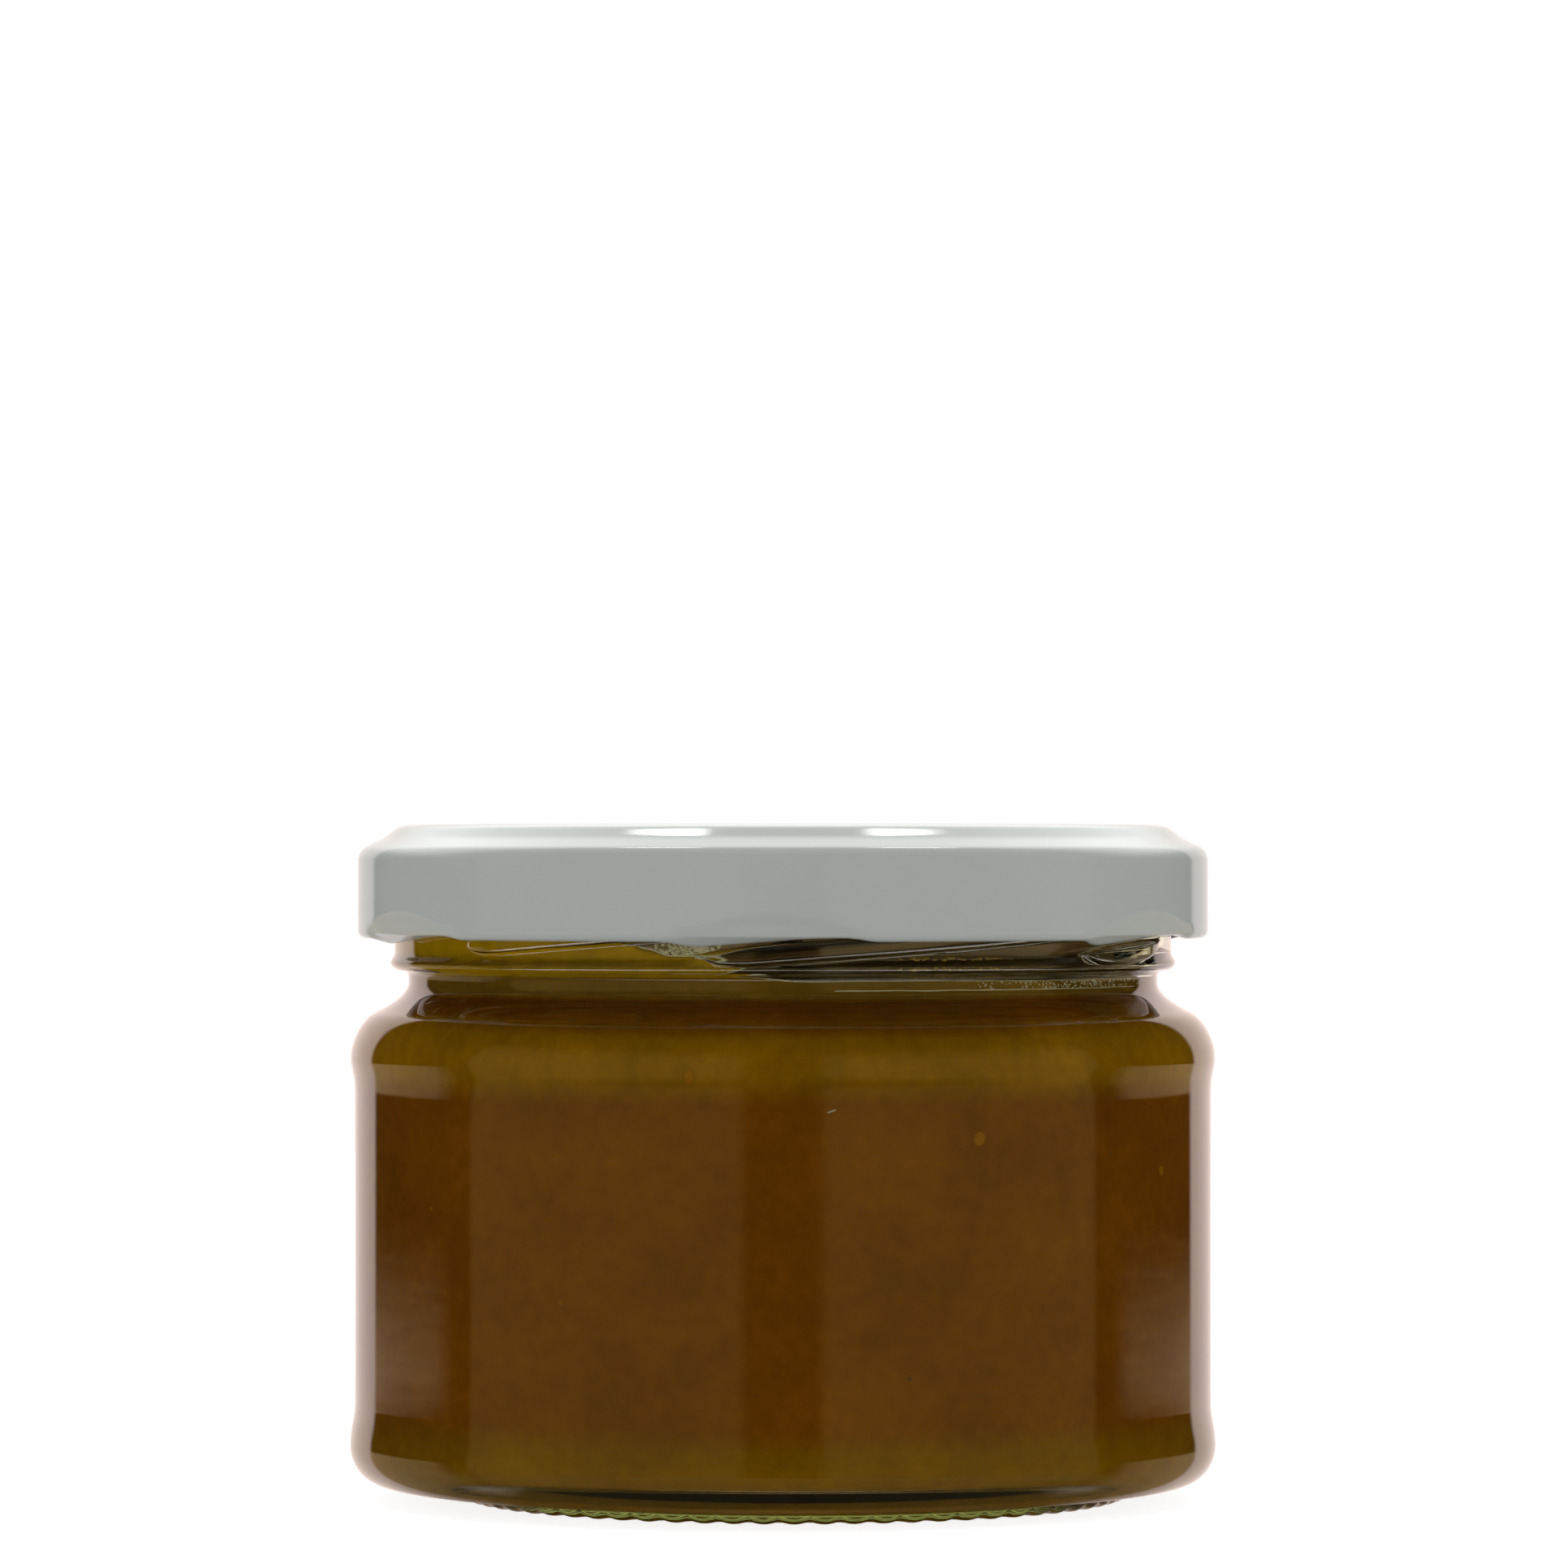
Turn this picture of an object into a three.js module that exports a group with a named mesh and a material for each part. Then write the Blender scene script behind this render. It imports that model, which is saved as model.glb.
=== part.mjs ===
// Twist-off jar: a squat glass jar of chutney under a six-lug metal lid.
// Millimetres, +Z up. The origin is on the jar's axis, on the surface that it stands on.
// Angles are in degrees round the axis, from the front (-Y) and positive towards +X.

import * as THREE from 'three';
import { ParametricGeometry } from 'three/addons/geometries/ParametricGeometry.js';
import { mergeVertices } from 'three/addons/utils/BufferGeometryUtils.js';

// Glass, radii
const panelRadius = 42.9;        // label panel at its waist
const panelFlare = 0.15;         // the panel widens by this towards its two ends
const lowerBandRise = 0.65;      // the bands that guard the panel stand proud of it
const upperBandRise = 0.5;
const neckRadius = 39.0;         // neck wall that carries the thread
const neckWall = 3.4;            // neck wall to the mouth
const grooveDepth = 1.4;         // groove between the shoulder and the transfer bead
const beadRise = 0.4;            // transfer bead, proud of the neck
const rimRound = 1.0;            // rounding of the sealing rim, inside and out

// Glass, heights stacked from the base up
const bearingHeight = 1.05;      // ring that the jar stands on
const undersideRise = 0.6;       // from the ring out to the heel
const heelHeight = 3.75;         // heel curve, up to the lower band's crest
const lowerBandHeight = 7.1;     // lower band's crest down into the panel
const panelHeight = 29.1;
const upperBandHeight = 2.0;     // panel to the upper band's crest
const shoulderHeight = 7.7;      // upper band's crest to the groove
const grooveHeight = 1.45;
const beadCrest = 0.78;          // underside of the bead to its crest
const beadFade = 1.17;           // crest of the bead to the plain neck
const finishHeight = 10.9;       // neck above the bead, up to the rim

// Glass, base and walls
const bearingWidth = 3.6;
const bearingDraft = 0.45;       // the ring widens by this towards its root
const heelDepth = 3.35;          // radial depth of the heel curve
const pushUp = 1.6;              // hollow under the base, at its middle
const baseThickness = 3.2;       // at the middle
const floorDome = 0.6;           // the floor rises by this to its middle
const floorCorner = 6.0;         // inside corner between floor and wall
const bodyWall = 2.4;
const shoulderSink = 0.65;       // inside shoulder curve, below the outside one

// Thread on the neck
const threadStarts = 6;
const threadLead = 19.0;         // rise in one full turn
const threadDepth = 1.85;        // crest above the neck wall
const threadHeight = 2.0;        // along the axis, at the root
const threadSpan = 90;           // degrees from the tip to the tail of a rib
const threadAngle = -11.3;       // tip of one rib
const threadDrop = 11.2;         // rim down to the middle of the rib at its tip
const threadLand = 0.25;         // plain neck kept above the thread
const noseSpan = 10.4;           // degrees over which the rib's tip swells
const tailSpan = 8.8;            // degrees over which its tail fades

// Lid, pressed from one sheet
const sheet = 0.25;
const skirtClearance = 1.6;      // thread crest to the inside of the skirt
const crownRun = 4.7;            // sloping crown, across
const crownDrop = 2.6;           // sloping crown, down to the skirt
const crownTopFillet = 0.9;
const crownSkirtFillet = 1.2;
const crownInset = 0.6;          // top ring's inner edge, inside the mouth
const rampRun = 1.3;             // slope from the top ring in to the sunk panel
const lidPanelDrop = 0.8;        // sunk panel that another jar's bearing ring stands in
const stackClearance = 0.4;      // round that ring
const buttonRadius = 14.0;       // vacuum button, drawn down
const buttonDrop = 0.45;
const buttonSlope = 1.2;
const curlRadius = 0.72;         // rolled lower edge
const lugThickness = 0.7;
const lugClearance = 0.65;       // lug's inner edge to the neck wall
const lugPlay = 0.05;            // lug's top to the root of the rib that it bears on
const lugAngle = -2;             // middle of one lug
const lugFlat = 5;               // half of a lug's full width, in degrees
const lugRamp = 5;               // degrees over which a lug fades into the rolled edge
const lugDent = 0.45;            // dent that pressing the lug leaves in the skirt
const dentHeight = 1.6;

// Seal
const rimGap = 0.3;              // glass rim to the gasket
const gasketThickness = 1.05;
const gasketEdge = 0.15;         // thickness left at the gasket's outer edge
const gasketInset = 0.2;         // gasket inside the mouth's radius
const seatGap = 0.3;             // gasket to the lid's underside

// Contents
const fillGap = 0.3;             // contents to the glass
const headspace = 10.3;          // contents' surface below the rim

// Fineness
const jarSegments = 48;
const lidSegments = 72;
const curveSteps = 3;            // points on a curved stretch of an outline
const curlSteps = 8;
const weldDistance = 1e-4;

// Heights of the stacked sections
const heelZ = bearingHeight + undersideRise;
const lowerBandZ = heelZ + heelHeight;
const panelZ = lowerBandZ + lowerBandHeight;
const panelTopZ = panelZ + panelHeight;
const upperBandZ = panelTopZ + upperBandHeight;
const grooveZ = upperBandZ + shoulderHeight;
const beadZ = grooveZ + grooveHeight;
const beadTopZ = beadZ + beadCrest;
const neckZ = beadTopZ + beadFade;
const rimZ = neckZ + finishHeight;
const fillZ = rimZ - headspace;
const gasketZ = rimZ + rimGap;
const lidTopZ = gasketZ + gasketThickness + seatGap + sheet;

// Radii that the glass and the lid share
const boreRadius = neckRadius - neckWall;
const crestRadius = neckRadius + threadDepth;
const lidRadius = crestRadius + skirtClearance + sheet;
const lugRadius = neckRadius + lugClearance;
const topRingRadius = boreRadius - crownInset;
const lidPanelRadius = topRingRadius - rampRun;
const bearingRadius = lidPanelRadius - stackClearance;

// Thread and lug heights: a lug lies under the rib that started one pitch below it
const threadZ = rimZ - threadDrop;
const threadPitch = threadLead / threadStarts;
const threadTopZ = helixZ(threadSpan) + threadHeight / 2 + threadLand;
const lugTopZ = helixZ(lugAngle - threadAngle) + threadPitch - threadHeight / 2 - lugPlay;
const lugZ = lugTopZ - lugThickness / 2;
const curlZ = lugTopZ - lugThickness + curlRadius;

// Height of a rib's middle line, so many degrees on from its tip
function helixZ(degrees) {
  return threadZ + threadLead * degrees / 360;
}

function around(radius, degrees, height) {
  const angle = THREE.MathUtils.degToRad(THREE.MathUtils.euclideanModulo(degrees, 360));
  return new THREE.Vector3(radius * Math.sin(angle), -radius * Math.cos(angle), height);
}

// Keeps positions only, with shared vertices merged and empty triangles dropped
function closed(geometry) {
  const bare = new THREE.BufferGeometry();
  bare.setAttribute('position', geometry.getAttribute('position'));
  bare.setIndex(geometry.getIndex());
  const merged = mergeVertices(bare, weldDistance);
  const corners = Array.from(merged.getIndex().array);
  const kept = [];
  for (let i = 0; i < corners.length; i += 3) {
    const [a, b, c] = corners.slice(i, i + 3);
    if (a !== b && b !== c && c !== a) kept.push(a, b, c);
  }
  merged.setIndex(kept);
  return merged;
}

// Turns an outline of radius and height round the axis
function turned(outline, segments, startDegrees) {
  const start = THREE.MathUtils.degToRad(startDegrees);
  const geometry = new THREE.LatheGeometry(outline, segments, start);
  geometry.rotateX(Math.PI / 2);
  return closed(geometry);
}

// Outside of the glass below the thread, from the middle of the base up to the crest of the bead
function bodyOutline() {
  const bearingInner = bearingRadius - bearingWidth;
  const lowerBandRadius = panelRadius + lowerBandRise;
  const upperBandRadius = panelRadius + upperBandRise;
  const panelEnd = panelRadius + panelFlare;
  const heelStart = lowerBandRadius - heelDepth;
  const grooveRadius = neckRadius - grooveDepth;
  const beadRadius = neckRadius + beadRise;
  const bendRadius = grooveRadius + 0.48 * (upperBandRadius - grooveRadius);
  const bendZ = upperBandZ + 0.66 * shoulderHeight;
  const path = new THREE.Path();
  path.moveTo(0, pushUp);
  path.quadraticCurveTo(0.7 * bearingInner, pushUp, bearingInner, 0);
  path.lineTo(bearingRadius, 0);
  path.lineTo(bearingRadius + bearingDraft, bearingHeight);
  path.lineTo(heelStart, heelZ);
  path.absellipse(heelStart, lowerBandZ, heelDepth, heelHeight, -Math.PI / 2, 0);
  path.quadraticCurveTo(panelEnd, lowerBandZ + 0.4 * lowerBandHeight, panelEnd, panelZ);
  path.quadraticCurveTo(panelRadius - panelFlare, panelZ + panelHeight / 2, panelEnd, panelTopZ);
  path.quadraticCurveTo(upperBandRadius, panelTopZ + 0.4 * upperBandHeight, upperBandRadius, upperBandZ);
  path.quadraticCurveTo(upperBandRadius, upperBandZ + 0.48 * shoulderHeight, bendRadius, bendZ);
  path.quadraticCurveTo(grooveRadius, upperBandZ + 0.8 * shoulderHeight, grooveRadius, grooveZ);
  path.lineTo(grooveRadius, beadZ);
  path.quadraticCurveTo(beadRadius, beadZ, beadRadius, beadTopZ);
  return path.getPoints(curveSteps);
}

// Glass above the thread, over the sealing rim and into the mouth
function rimOutline() {
  const path = new THREE.Path();
  path.moveTo(neckRadius, threadTopZ);
  path.lineTo(neckRadius, rimZ - rimRound);
  path.quadraticCurveTo(neckRadius, rimZ, neckRadius - rimRound, rimZ);
  path.lineTo(boreRadius + rimRound, rimZ);
  path.quadraticCurveTo(boreRadius, rimZ, boreRadius, rimZ - rimRound);
  return path.getPoints(curveSteps);
}

// Inside of the glass, from the middle of the floor up to a height in the neck.
// With a gap it is the outline of what fills the jar.
function cavityOutline(gap, topZ) {
  const floorMiddleZ = pushUp + baseThickness + gap;
  const floorEdgeZ = floorMiddleZ - floorDome;
  const wallRadius = panelRadius - bodyWall - gap;
  const neckInside = boreRadius - gap;
  const shoulderLowZ = upperBandZ - shoulderSink - gap;
  const shoulderHighZ = grooveZ - shoulderSink - gap;
  const shoulderMiddleZ = (shoulderLowZ + shoulderHighZ) / 2;
  const shoulderMiddleRadius = (wallRadius + neckInside) / 2;
  const path = new THREE.Path();
  path.moveTo(0, floorMiddleZ);
  path.lineTo(wallRadius - floorCorner, floorEdgeZ);
  path.quadraticCurveTo(wallRadius, floorEdgeZ, wallRadius, floorEdgeZ + floorCorner);
  path.lineTo(wallRadius, shoulderLowZ);
  path.quadraticCurveTo(wallRadius, shoulderMiddleZ, shoulderMiddleRadius, shoulderMiddleZ);
  path.quadraticCurveTo(neckInside, shoulderMiddleZ, neckInside, shoulderHighZ);
  path.lineTo(neckInside, topZ);
  return path.getPoints(curveSteps);
}

// How far a rib has swelled, so many degrees on from its tip
function ribSwell(along) {
  const nose = along / noseSpan;
  const tail = (threadSpan - along) / tailSpan;
  const reach = THREE.MathUtils.clamp(Math.min(nose, tail), 0, 1);
  return Math.sqrt(Math.sin(Math.PI / 2 * reach));
}

// One row of points in the threaded part of the neck. It climbs with the thread, so that each
// rib keeps one section from nose to tail, and runs out along the bead or the plain neck.
function threadRow(rib, up, out) {
  return (turn) => {
    const along = 360 * turn - rib * 360 / threadStarts;
    const rowZ = helixZ(along) + up * threadHeight / 2;
    const z = THREE.MathUtils.clamp(rowZ, beadTopZ, threadTopZ);
    const fade = THREE.MathUtils.clamp((neckZ - z) / beadFade, 0, 1);
    const wall = neckRadius + beadRise * fade;
    const crest = neckRadius + threadDepth * out * ribSwell(along);
    return around(z === rowZ ? Math.max(wall, crest) : wall, threadAngle + 360 * turn, z);
  };
}

// Rows for the ribs, from the lowest up: height and depth of each corner of a rib's section
function threadRows() {
  const ribSection = [[-1, 0], [-0.62, 0.65], [-0.28, 1], [0.28, 1], [0.62, 0.65], [1, 0]];
  const ribsAhead = Math.ceil(threadSpan * threadStarts / 360);
  const rows = [];
  for (let rib = threadStarts + 1; rib >= -ribsAhead; rib--) {
    for (const [up, out] of ribSection) rows.push(threadRow(rib, up, out));
  }
  return rows;
}

// One skin: up the outside, round the thread, over the rim and down the inside
function glassJar() {
  const ring = (point) => (turn) => around(point.x, threadAngle + 360 * turn, point.y);
  const inside = cavityOutline(0, rimZ - rimRound).reverse();
  const rows = [
    ...bodyOutline().map(ring),
    ...threadRows(),
    ...rimOutline().map(ring),
    ...inside.map(ring),
  ];
  const lastRow = rows.length - 1;
  const skin = (u, v, target) => target.copy(rows[Math.round(v * lastRow)](u));
  return closed(new ParametricGeometry(skin, jarSegments, lastRow));
}

function contents() {
  const outline = cavityOutline(fillGap, fillZ);
  outline.push(new THREE.Vector2(0, fillZ));
  return turned(outline, jarSegments, threadAngle);
}

// Upper face of the lid, from its middle out over the crown and down to just above the lugs' dents
function lidOutline() {
  const panelTop = lidTopZ - lidPanelDrop;
  const bend = new THREE.Vector2(lidRadius - crownRun, lidTopZ);
  const foot = new THREE.Vector2(lidRadius, lidTopZ - crownDrop);
  const crown = foot.clone().sub(bend).normalize();
  const slopeStart = bend.clone().addScaledVector(crown, crownTopFillet);
  const slopeEnd = foot.clone().addScaledVector(crown, -crownSkirtFillet);
  const path = new THREE.Path();
  path.moveTo(0, panelTop - buttonDrop);
  path.lineTo(buttonRadius, panelTop - buttonDrop);
  path.lineTo(buttonRadius + buttonSlope, panelTop);
  path.lineTo(lidPanelRadius, panelTop);
  path.lineTo(topRingRadius, lidTopZ);
  path.lineTo(bend.x - crownTopFillet, lidTopZ);
  path.quadraticCurveTo(bend.x, bend.y, slopeStart.x, slopeStart.y);
  path.lineTo(slopeEnd.x, slopeEnd.y);
  path.quadraticCurveTo(foot.x, foot.y, lidRadius, foot.y - crownSkirtFillet);
  path.lineTo(lidRadius, curlZ + dentHeight);
  return path.getPoints(curveSteps);
}

// The same outline, moved in by the sheet's thickness
function underside(outline) {
  return outline.map((point, i) => {
    const before = outline[Math.max(i - 1, 0)];
    const after = outline[Math.min(i + 1, outline.length - 1)];
    const first = (i > 0 ? point.clone().sub(before) : after.clone().sub(point)).normalize();
    const second = (point === after ? point.clone().sub(before) : after.clone().sub(point)).normalize();
    const along = first.clone().add(second).normalize();
    const reach = sheet / along.dot(first);
    return new THREE.Vector2(point.x + along.y * reach, point.y - along.x * reach);
  });
}

// Rolled edge, from the inside of the skirt round to its outside
function curlOutline() {
  const middle = lidRadius - curlRadius;
  const start = Math.acos((curlRadius - sheet) / curlRadius);
  const points = [];
  for (let step = 0; step <= curlSteps; step++) {
    const angle = start + (2 * Math.PI - start) * step / curlSteps;
    points.push(new THREE.Vector2(middle + curlRadius * Math.cos(angle), curlZ + curlRadius * Math.sin(angle)));
  }
  return points;
}

// Presses the rolled edge flat and inwards at each lug, along the slope of the thread
function pressLugs(geometry) {
  const position = geometry.getAttribute('position');
  const spacing = 360 / threadStarts;
  const stretch = (lidRadius - lugDent - lugRadius) / (2 * curlRadius);
  const flatten = lugThickness / (2 * curlRadius);
  const curlTop = curlZ + curlRadius + weldDistance;
  for (let i = 0; i < position.count; i++) {
    const height = position.getZ(i);
    if (height > curlTop) continue;
    const radius = Math.hypot(position.getX(i), position.getY(i));
    const degrees = THREE.MathUtils.radToDeg(Math.atan2(position.getX(i), -position.getY(i)));
    const turns = (degrees - lugAngle) / spacing;
    const offset = (turns - Math.round(turns)) * spacing;
    const weight = THREE.MathUtils.clamp((lugFlat + lugRamp - Math.abs(offset)) / lugRamp, 0, 1);
    const lugPointRadius = lidRadius - lugDent - (lidRadius - radius) * stretch;
    const lugPointZ = lugZ + (height - curlZ) * flatten + threadLead * offset / 360;
    const moved = around(
      THREE.MathUtils.lerp(radius, lugPointRadius, weight),
      degrees,
      THREE.MathUtils.lerp(height, lugPointZ, weight),
    );
    position.setXYZ(i, moved.x, moved.y, moved.z);
  }
  return geometry;
}

function lidShell() {
  const upper = lidOutline();
  const lower = underside(upper);
  const outline = [...lower, ...curlOutline(), ...upper.reverse()];
  return pressLugs(turned(outline, lidSegments, lugAngle));
}

// Ring of sealing compound in the channel under the crown, thinning out under the crown's slope
function lidGasket() {
  const topZ = gasketZ + gasketThickness;
  const inner = boreRadius - gasketInset;
  const bend = lidRadius - crownRun - sheet;
  const outer = bend + (gasketThickness - gasketEdge) * crownRun / crownDrop;
  const outline = [
    new THREE.Vector2(inner, gasketZ),
    new THREE.Vector2(outer, gasketZ),
    new THREE.Vector2(outer, gasketZ + gasketEdge),
    new THREE.Vector2(bend, topZ),
    new THREE.Vector2(inner, topZ),
    new THREE.Vector2(inner, gasketZ),
  ];
  return turned(outline, jarSegments, lugAngle);
}

function piece(name, geometry, look) {
  const mesh = new THREE.Mesh(geometry, new THREE.MeshStandardMaterial(look));
  mesh.name = name;
  return mesh;
}

const filledJar = new THREE.Group();
filledJar.add(piece('glass_jar', glassJar(), {
  color: 0xdfe6dc, roughness: 0.04, metalness: 0, transparent: true, opacity: 0.35,
}));
filledJar.add(piece('contents', contents(), { color: 0x583406, roughness: 0.35, metalness: 0 }));

const lid = new THREE.Group();
lid.add(piece('lid_shell', lidShell(), { color: 0x9da49e, roughness: 0.22, metalness: 0 }));
lid.add(piece('lid_gasket', lidGasket(), { color: 0xe4e0d2, roughness: 0.5, metalness: 0 }));

const jar = new THREE.Group();
jar.add(filledJar, lid);

export default jar;
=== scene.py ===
# Twist-off jar of chutney: glass, contents, lid and seal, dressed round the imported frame.
# Sizes in the dictionaries are millimetres and degrees. Angles run round the jar's axis from
# the front (-Y), positive towards +X.

import math
import random

import bmesh
import bpy
from mathutils import Matrix, Vector, noise
from mathutils.geometry import interpolate_bezier


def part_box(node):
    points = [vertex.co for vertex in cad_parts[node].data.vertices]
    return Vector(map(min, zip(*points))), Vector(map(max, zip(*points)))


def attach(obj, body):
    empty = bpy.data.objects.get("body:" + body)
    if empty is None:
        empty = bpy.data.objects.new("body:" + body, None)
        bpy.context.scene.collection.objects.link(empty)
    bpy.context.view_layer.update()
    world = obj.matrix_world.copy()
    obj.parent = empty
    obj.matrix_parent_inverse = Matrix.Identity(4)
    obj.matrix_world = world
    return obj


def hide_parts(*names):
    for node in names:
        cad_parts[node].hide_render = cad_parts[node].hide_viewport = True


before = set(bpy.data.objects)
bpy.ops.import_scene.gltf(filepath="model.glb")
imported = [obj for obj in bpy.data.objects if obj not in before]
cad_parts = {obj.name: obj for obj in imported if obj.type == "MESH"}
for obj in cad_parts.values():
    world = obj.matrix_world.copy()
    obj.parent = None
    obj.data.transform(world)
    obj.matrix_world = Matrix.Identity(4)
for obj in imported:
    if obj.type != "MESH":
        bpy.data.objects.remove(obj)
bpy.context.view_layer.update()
metre = 0.001                      # one millimetre in Blender's units
weld = 0.0005                      # points closer than this are one


def nodeTop(node):
    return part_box(node)[1].z / metre


def nodeRadius(node):
    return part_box(node)[1].x / metre


# Outlines and turned shapes

def smooth(share):
    share = min(max(share, 0.0), 1.0)
    return share * share * (3 - 2 * share)


def between(a, b, share):
    return a + (b - a) * share


def line(outline, end, steps=1):
    radius, height = outline[-1]
    for step in range(1, steps + 1):
        share = step / steps
        outline.append((between(radius, end[0], share), between(height, end[1], share)))


def bend(outline, corner, end, steps, pull=0.55):      # rounds a corner, 0.55 gives a quarter ellipse
    start, corner, end = (Vector((r, 0, z)) for r, z in (outline[-1], corner, end))
    first, second = start.lerp(corner, pull), end.lerp(corner, pull)
    points = interpolate_bezier(start, first, second, end, steps + 1)
    outline.extend((p.x, p.z) for p in points[1:])


def wire(bm, outline):             # the outline stands at the back, where the seam shows least
    verts = [bm.verts.new((0, r, z)) for r, z in outline]
    edges = [bm.edges.new(pair) for pair in zip(verts, verts[1:])]
    return verts + edges


def turn(outline, segments, rise=0.0):   # spins one sector and doubles it round, which is quicker
    doublings = 4
    share = 1 / 2 ** doublings
    steps = round(segments * share)
    bm = bmesh.new()
    bmesh.ops.spin(bm, geom=wire(bm, outline), cent=(0, 0, 0), axis=(0, 0, 1), steps=steps,
                   angle=2 * math.pi * share, dvec=(0, 0, rise * share / steps))
    for i in range(doublings):
        copied = bmesh.ops.duplicate(bm, geom=bm.verts[:] + bm.edges[:] + bm.faces[:])["geom"]
        moved = [item for item in copied if isinstance(item, bmesh.types.BMVert)]
        bmesh.ops.rotate(bm, verts=moved, cent=(0, 0, 0),
                         matrix=Matrix.Rotation(2 * math.pi * share * 2 ** i, 3, "Z"))
        bmesh.ops.translate(bm, verts=moved, vec=(0, 0, rise * share * 2 ** i))
    bmesh.ops.remove_doubles(bm, verts=bm.verts, dist=weld)
    return bm


def join(bm, other):
    mesh = bpy.data.meshes.new("joining")
    other.to_mesh(mesh)
    other.free()
    bm.from_mesh(mesh)
    bpy.data.meshes.remove(mesh)


def degreesOf(vert):
    return math.degrees(math.atan2(vert.co.x, -vert.co.y))


def radiusOf(vert):
    return math.hypot(vert.co.x, vert.co.y)


def place(vert, radius, degrees, height):
    angle = math.radians(degrees)
    vert.co = (radius * math.sin(angle), -radius * math.cos(angle), height)


def nearest(degrees, start, count):   # degrees from the nearest of count places round the axis
    spacing = 360 / count
    turns = (degrees - start) / spacing
    return (turns - round(turns)) * spacing


def makePiece(bm, name, materials):
    bmesh.ops.remove_doubles(bm, verts=bm.verts, dist=weld)
    bmesh.ops.recalc_face_normals(bm, faces=bm.faces)
    bmesh.ops.scale(bm, vec=(metre, metre, metre), verts=bm.verts)
    for face in bm.faces:
        face.smooth = True
    mesh = bpy.data.meshes.new(name)
    bm.to_mesh(mesh)
    bm.free()
    for material in materials:
        mesh.materials.append(material)
    piece = bpy.data.objects.new(name, mesh)
    bpy.context.scene.collection.objects.link(piece)
    print("piece:", name, len(mesh.polygons), "faces")
    return piece


# Materials

glassIndex, pasteIndex = 1.52, 1.43      # how strongly glass and wet chutney bend light
glassTint = "#fbfdfa"


def linear(hexColour):
    channels = [int(hexColour[i:i + 2], 16) / 255 for i in (1, 3, 5)]
    return [c / 12.92 if c <= 0.04045 else ((c + 0.055) / 1.055) ** 2.4 for c in channels] + [1.0]


def perMetre(millimetres):         # texture scale that gives features of this size
    return 1 / (millimetres * metre)


def addNode(tree, kind, settings, links=()):
    node = tree.nodes.new(kind)
    for key, value in settings.items():
        if isinstance(key, str) and hasattr(node, key):
            setattr(node, key, value)
        else:
            node.inputs[key].default_value = value
    for key, socket in dict(links).items():
        tree.links.new(socket, node.inputs[key])
    return node


def startMaterial(name):
    material = bpy.data.materials.new(name)
    material.use_nodes = True
    tree = material.node_tree
    shader = tree.nodes["Principled BSDF"]
    spot = addNode(tree, "ShaderNodeTexCoord", {}).outputs["Object"]
    return material, tree, shader, spot


# Clear soda-lime glass, pressed in a mould and fire polished: sharp gloss, a faint waviness from
# the mould that bends reflections, and a green cast where the light runs a long way through it
def clearGlass():
    look = {"ripple": 9.0, "flatter": 4.0, "rippleDepth": 0.006,   # width, times flatter, depth
            "cast": (0.66, 0.70, 0.40, 1.0), "density": 60.0}
    material, tree, shader, spot = startMaterial("clearSodaLimeGlass")
    shader.inputs["Base Color"].default_value = linear(glassTint)
    shader.inputs["Roughness"].default_value = 0.0
    shader.inputs["IOR"].default_value = glassIndex
    shader.inputs["Transmission Weight"].default_value = 1.0
    across = addNode(tree, "ShaderNodeMapping", {"Scale": (1, 1, look["flatter"])}, {"Vector": spot})
    wave = addNode(tree, "ShaderNodeTexNoise", {"Scale": perMetre(look["ripple"]), "Detail": 1.0},
                   {"Vector": across.outputs["Vector"]})
    bump = addNode(tree, "ShaderNodeBump", {"Strength": 1.0, "Distance": look["rippleDepth"] * metre},
                   {"Height": wave.outputs["Fac"]})
    tree.links.new(bump.outputs["Normal"], shader.inputs["Normal"])
    cast = addNode(tree, "ShaderNodeVolumeAbsorption", {"Color": look["cast"], "Density": look["density"]})
    tree.links.new(cast.outputs["Volume"], tree.nodes["Material Output"].inputs["Volume"])
    return material


# The same glass where the wet chutney lies on it: the step to the paste is small, so it hardly mirrors
def wettedGlass():
    material, tree, shader, spot = startMaterial("sodaLimeGlassWetted")
    shader.inputs["Base Color"].default_value = linear(glassTint)
    shader.inputs["Roughness"].default_value = 0.0
    shader.inputs["IOR"].default_value = glassIndex / pasteIndex
    shader.inputs["Transmission Weight"].default_value = 1.0
    return material


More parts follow.
